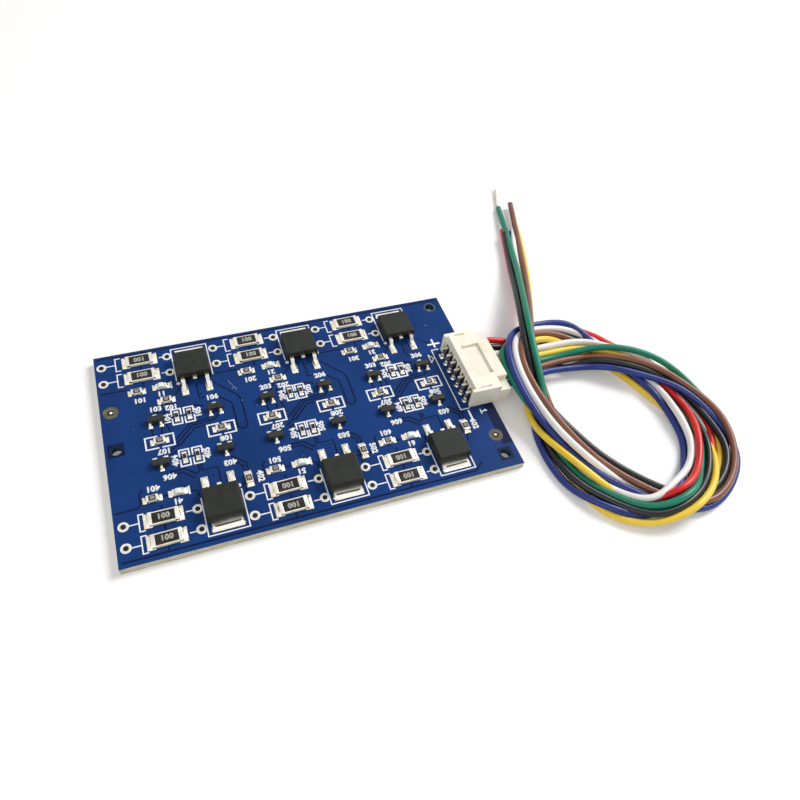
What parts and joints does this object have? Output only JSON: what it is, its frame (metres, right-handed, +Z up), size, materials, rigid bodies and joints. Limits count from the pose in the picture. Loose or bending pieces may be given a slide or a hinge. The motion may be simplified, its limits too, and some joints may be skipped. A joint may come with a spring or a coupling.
{
  "type": "battery management board",
  "caption": "Flat blue circuit board for balancing a battery pack's cells, with a side-entry header at one end and its plugged, coiled sense harness.",
  "frame": {"origin": "centre of the board's underside", "axes": "+X along the board towards the header, +Y across it towards the upper row of cells, +Z up out of the parts side"},
  "size_m": [0.1191, 0.1034, 0.0084],
  "materials": {
    "solder_mask": "blue solder mask over glass-fibre laminate, satin gloss",
    "solder": "tinned copper and solder, bright",
    "legend_ink": "white printed ink",
    "ceramic_chip": "black glaze over a white ceramic body with tinned ends",
    "moulded_black": "moulded epoxy, matt",
    "tinned_leads": "tin-plated copper, satin",
    "led_resin": "milky resin lens",
    "header_nylon": "ivory nylon, satin",
    "tinned_brass": "tin-plated brass, bright",
    "plug_nylon": "cream nylon, satin",
    "red_pvc": "insulation, satin",
    "black_pvc": "insulation, satin",
    "white_pvc": "insulation, satin",
    "yellow_pvc": "insulation, satin",
    "green_pvc": "insulation, satin",
    "brown_pvc": "insulation, satin",
    "blue_pvc": "insulation, satin",
    "tinned_copper": "tinned copper strands"
  },
  "bodies": {
    "root": {"circuit_board": "solder_mask", "solder_pads": "solder", "printed_legend": "legend_ink", "power_resistors_1": "ceramic_chip", "power_resistors_2": "ceramic_chip", "power_resistors_3": "ceramic_chip", "power_resistors_4": "ceramic_chip", "power_resistors_5": "ceramic_chip", "power_resistors_6": "ceramic_chip", "mosfet_body_1": "moulded_black", "mosfet_body_2": "moulded_black", "mosfet_body_3": "moulded_black", "mosfet_body_4": "moulded_black", "mosfet_body_5": "moulded_black", "mosfet_body_6": "moulded_black", "mosfet_frame_1": "tinned_leads", "mosfet_frame_2": "tinned_leads", "mosfet_frame_3": "tinned_leads", "mosfet_frame_4": "tinned_leads", "mosfet_frame_5": "tinned_leads", "mosfet_frame_6": "tinned_leads", "led_1": "led_resin", "led_2": "led_resin", "led_3": "led_resin", "led_4": "led_resin", "led_5": "led_resin", "led_6": "led_resin", "driver_transistor_1": "moulded_black", "driver_transistor_2": "moulded_black", "driver_transistor_3": "moulded_black", "driver_transistor_4": "moulded_black", "driver_transistor_5": "moulded_black", "driver_transistor_6": "moulded_black", "voltage_reference_1": "moulded_black", "voltage_reference_2": "moulded_black", "voltage_reference_3": "moulded_black", "voltage_reference_4": "moulded_black", "voltage_reference_5": "moulded_black", "voltage_reference_6": "moulded_black", "led_resistors": "ceramic_chip", "gate_resistors": "ceramic_chip", "sense_resistors": "ceramic_chip", "divider_resistors_a": "ceramic_chip", "divider_resistors_b": "ceramic_chip", "header_shell": "header_nylon", "header_pins": "tinned_brass", "plug_housing": "plug_nylon", "crimp_contacts": "tinned_brass", "red_wire": "red_pvc", "black_wire": "black_pvc", "white_wire": "white_pvc", "yellow_wire": "yellow_pvc", "green_wire": "green_pvc", "brown_wire": "brown_pvc", "blue_wire": "blue_pvc", "bare_end": "tinned_copper"}
  },
  "joints": []
}
